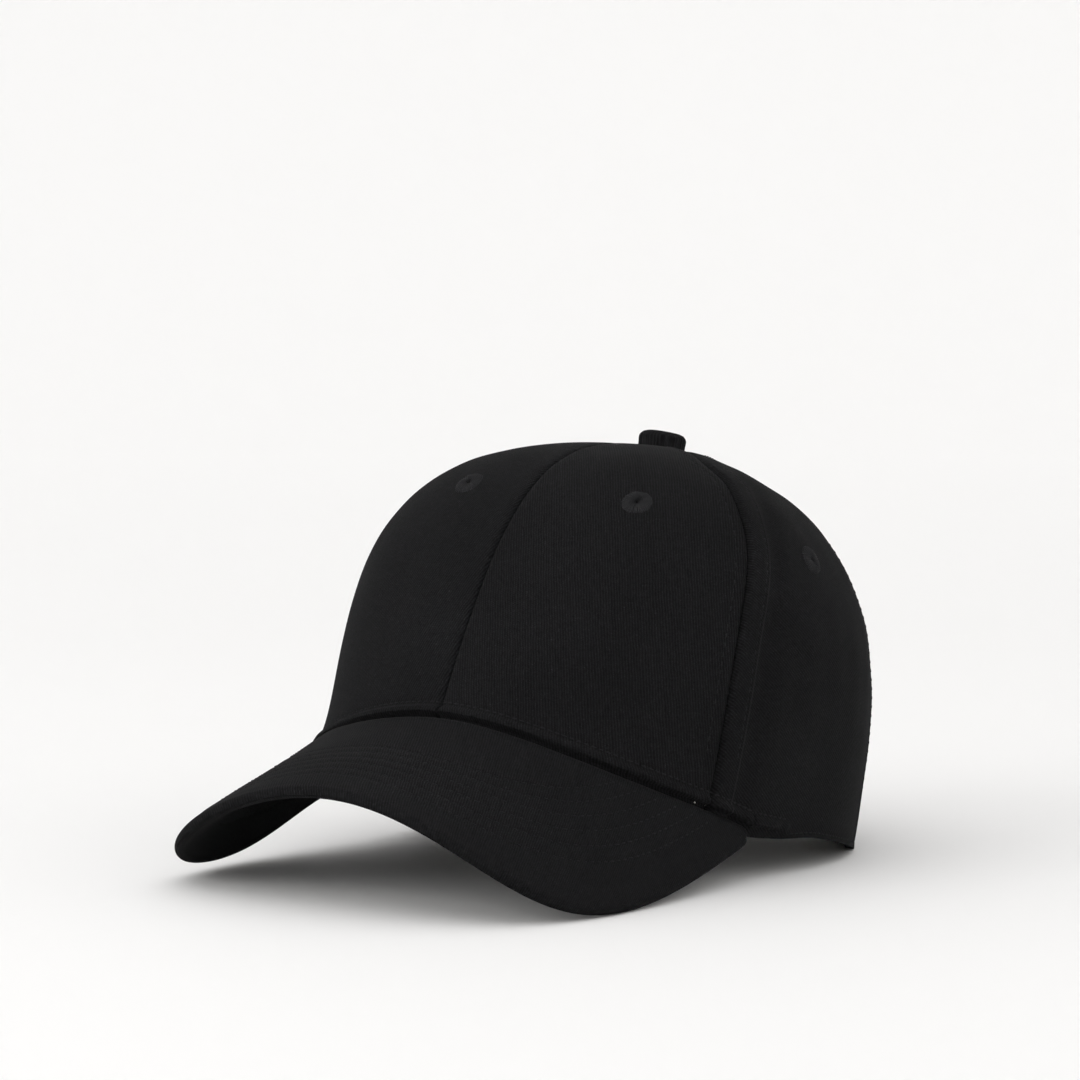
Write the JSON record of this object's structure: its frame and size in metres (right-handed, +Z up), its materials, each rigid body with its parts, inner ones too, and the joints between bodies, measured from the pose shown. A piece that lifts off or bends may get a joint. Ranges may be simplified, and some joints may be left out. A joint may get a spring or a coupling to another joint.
{
  "type": "baseball cap",
  "caption": "Panelled fabric cap with a curved visor, stitched eyelets and a covered top button, and a half-moon back opening closed by a strap through a hinged clamp buckle.",
  "frame": {"origin": "on the floor the cap stands on, under the centre of its box", "axes": "+Z up; the visor points along -Y and the back opening faces +Y; +X is the wearer's left"},
  "size_m": [0.1794, 0.2622, 0.1464],
  "materials": {
    "twill": "black brushed cotton twill, matt, with fine diagonal ribs",
    "thread": "black sewing and embroidery thread, slight satin",
    "buckram": "off-white stiffened open-weave cloth, matt",
    "tape": "black plain-weave bias tape, matt",
    "sweatband": "black soft cotton, matt",
    "label": "white woven satin label, blank",
    "board": "dark grey polyethylene sheet, matt",
    "metal": "dark gunmetal lacquer, semi-gloss, lightly worn at the edges"
  },
  "bodies": {
    "crown": {"crown_panel_front_left": "twill", "crown_panel_front_right": "twill", "crown_panel_side_left": "twill", "crown_panel_side_right": "twill", "crown_panel_back_left": "twill", "crown_panel_back_right": "twill", "buckram_left": "buckram", "buckram_right": "buckram", "seam_tape_front_left": "tape", "seam_tape_front_right": "tape", "seam_tape_rear_left": "tape", "seam_tape_rear_right": "tape", "seam_tape_centre_front": "tape", "seam_tape_centre_back": "tape", "eyelet_front_left": "thread", "eyelet_front_right": "thread", "eyelet_side_left": "thread", "eyelet_side_right": "thread", "eyelet_back_left": "thread", "eyelet_back_right": "thread", "sweatband": "sweatband", "care_label": "label", "visor_top_fabric": "twill", "visor_board": "board", "visor_under_fabric": "twill", "top_button_cover": "twill", "top_button_shell": "metal", "top_button_washer": "metal", "opening_binding": "tape", "buckle_tab": "twill", "buckle_frame": "metal", "buckle_pin": "metal"},
    "strap": {"strap": "twill"},
    "lever": {"buckle_lever": "metal"}
  },
  "joints": [
    {"name": "strap_adjust", "type": "hinge", "parent": "crown", "child": "strap", "pos_m": [0, 0.03577, 0.017], "axis": [0, 0.2402, 0.9707], "range_deg": [-10, 10]},
    {"name": "lever_hinge", "type": "hinge", "parent": "crown", "child": "lever", "pos_m": [-0.0197, 0.12135, 0.01337], "axis": [0.006, -0.2651, -0.9642], "range_deg": [0, 105]}
  ]
}
